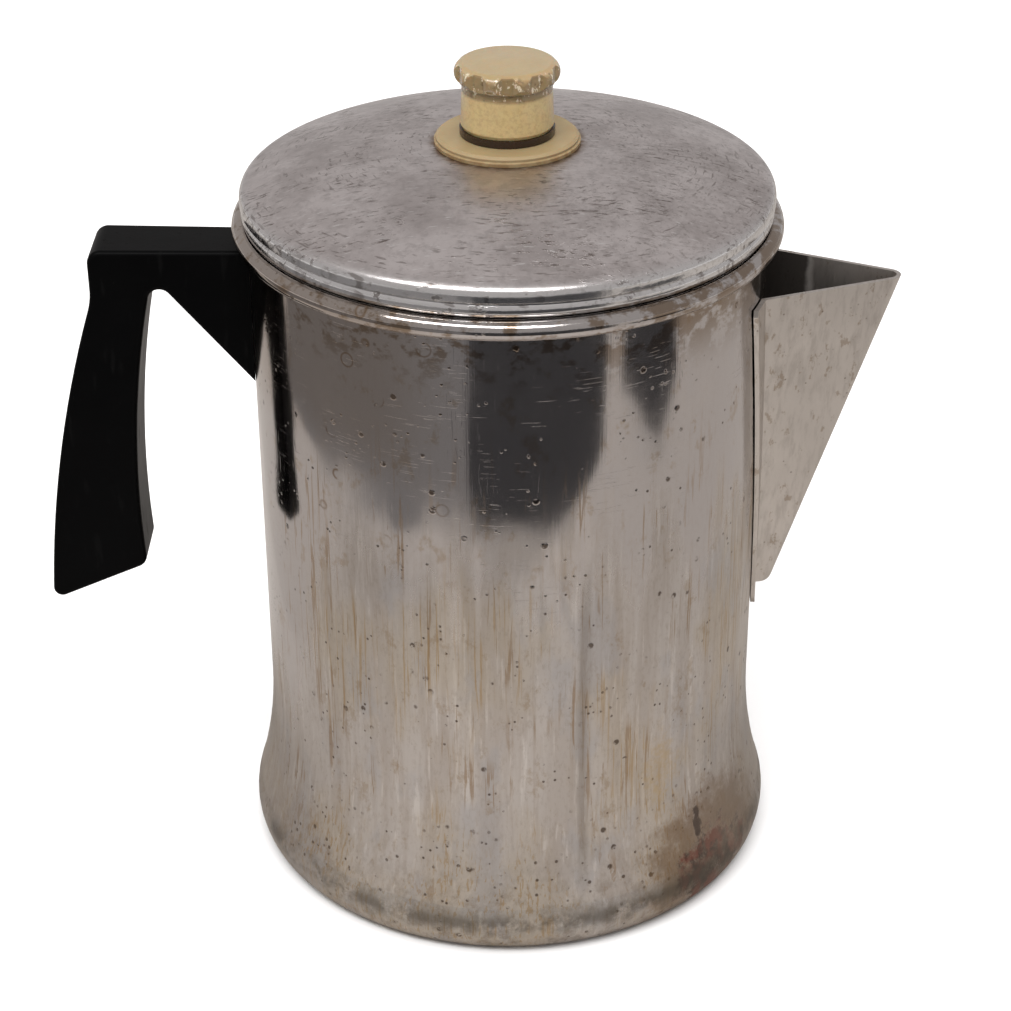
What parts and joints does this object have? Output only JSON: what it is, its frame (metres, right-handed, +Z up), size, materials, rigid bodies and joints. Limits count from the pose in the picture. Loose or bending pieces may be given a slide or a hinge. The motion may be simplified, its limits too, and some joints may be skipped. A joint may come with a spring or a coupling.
{
  "type": "stove-top coffee percolator",
  "caption": "Tall aluminium stove-top percolator with lift-off lid, clear knob, black side handle, folded sheet spout and lift-out pump and basket.",
  "frame": {"origin": "on the pot's axis, in the plane of its base", "axes": "+Z up along the pot's axis, +X towards the spout, -X towards the handle"},
  "size_m": [0.2376, 0.1526, 0.2357],
  "materials": {
    "body_aluminium": "worn satin with polished areas",
    "spout_aluminium": "dull satin",
    "lid_aluminium": "scuffed satin",
    "inner_aluminium": "satin, lightly stained",
    "rivet_aluminium": "satin",
    "valve_aluminium": "satin",
    "plated_steel": "dull zinc plate",
    "black_phenolic": "worn semi-gloss",
    "cream_plastic": "aged, satin",
    "amber_plastic": "aged, translucent",
    "dark_rubber": "matte"
  },
  "bodies": {
    "pot": {"body": "body_aluminium", "spout": "spout_aluminium", "handle": "black_phenolic", "handle_bracket": "plated_steel", "bracket_rivets": "rivet_aluminium", "handle_screw": "plated_steel", "handle_nut": "plated_steel"},
    "pump": {"pump_stem": "inner_aluminium", "pump_dome": "inner_aluminium", "pump_base_plate": "inner_aluminium", "valve_guard": "inner_aluminium", "basket_stop": "inner_aluminium"},
    "valve": {"pump_valve": "valve_aluminium"},
    "basket_unit": {"basket": "inner_aluminium", "basket_sleeve": "inner_aluminium"},
    "spreader_plate": {"spreader": "inner_aluminium"},
    "lid_unit": {"lid": "lid_aluminium", "knob_collar": "cream_plastic", "knob_retaining_ring": "inner_aluminium"},
    "knob_unit": {"knob": "amber_plastic", "knob_gasket": "dark_rubber"}
  },
  "joints": [
    {"name": "pump_lift", "type": "slide", "parent": "pot", "child": "pump", "axis": [0, 0, 1], "range_m": [0, 0.2]},
    {"name": "valve_lift", "type": "slide", "parent": "pump", "child": "valve", "axis": [0, 0, 1], "range_m": [0, 0.0015]},
    {"name": "basket_lift", "type": "slide", "parent": "pump", "child": "basket_unit", "axis": [0, 0, 1], "range_m": [0, 0.13]},
    {"name": "spreader_lift", "type": "slide", "parent": "basket_unit", "child": "spreader_plate", "axis": [0, 0, 1], "range_m": [0, 0.04]},
    {"name": "lid_lift", "type": "slide", "parent": "spreader_plate", "child": "lid_unit", "axis": [0, 0, 1], "range_m": [0, 0.06]},
    {"name": "knob_twist", "type": "hinge", "parent": "lid_unit", "child": "knob_unit", "pos_m": [0, 0, 0.2174], "axis": [0, 0, 1], "range_deg": [0, 60]}
  ]
}
